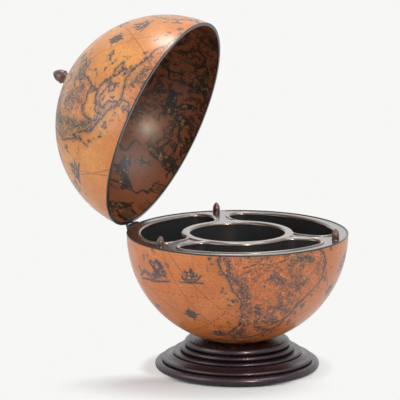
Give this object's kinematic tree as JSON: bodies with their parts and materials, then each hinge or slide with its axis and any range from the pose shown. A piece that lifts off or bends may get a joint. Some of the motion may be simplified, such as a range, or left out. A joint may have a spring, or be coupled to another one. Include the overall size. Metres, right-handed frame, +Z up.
{
  "type": "tabletop globe bar",
  "caption": "Tabletop globe bar: a map-covered globe on a turned wooden base whose upper half hinges back over a tray with wells for bottles and glasses.",
  "frame": {"origin": "centre of the felt under the base", "axes": "+Z up, +Y towards the hinge at the back, +X to the right seen from the front; the lid is open at rest"},
  "size_m": [0.4006, 0.5663, 0.6374],
  "materials": {
    "felt": "dark felt",
    "dark_wood": "dark mahogany stain under gloss lacquer",
    "inner_wood": "unfinished plywood",
    "knob_wood": "brown stained, satin lacquer",
    "map_shell": "pressed wood fibre with a printed paper map under lacquer",
    "rim_band": "dark semi-gloss edge band",
    "tray_plastic": "dark brown, satin",
    "steel": "plated steel",
    "collar": "mauve-grey, satin"
  },
  "bodies": {
    "bowl_stand": {"base_felt": "felt", "base_plinth": "dark_wood", "base_step": "dark_wood", "base_cap": "dark_wood", "base_screws": "steel", "centre_bolt": "steel", "base_washer": "steel", "clamp_disc": "inner_wood", "nut_washer": "steel", "centre_nut": "steel", "bowl_shell": "map_shell", "bowl_rim_band": "rim_band", "tray_ring": "inner_wood", "tray": "tray_plastic", "guide_pegs": "knob_wood", "peg_studs": "steel", "hinge_block": "dark_wood", "hinge_block_screws": "steel", "hinge_pin": "steel", "stop_pin": "steel"},
    "lid": {"lid_bracket": "steel", "lid_bracket_screws": "steel", "lid_block": "dark_wood", "lid_shell": "map_shell", "lid_rim_band": "rim_band", "finial_collar": "collar", "finial_knob": "knob_wood", "finial_screw": "steel", "finial_washer": "steel"}
  },
  "joints": [
    {"name": "lid_hinge", "type": "hinge", "parent": "bowl_stand", "child": "lid", "pos_m": [0, 0.2045, 0.2435], "axis": [1, 0, 0], "range_deg": [0, 70]}
  ]
}
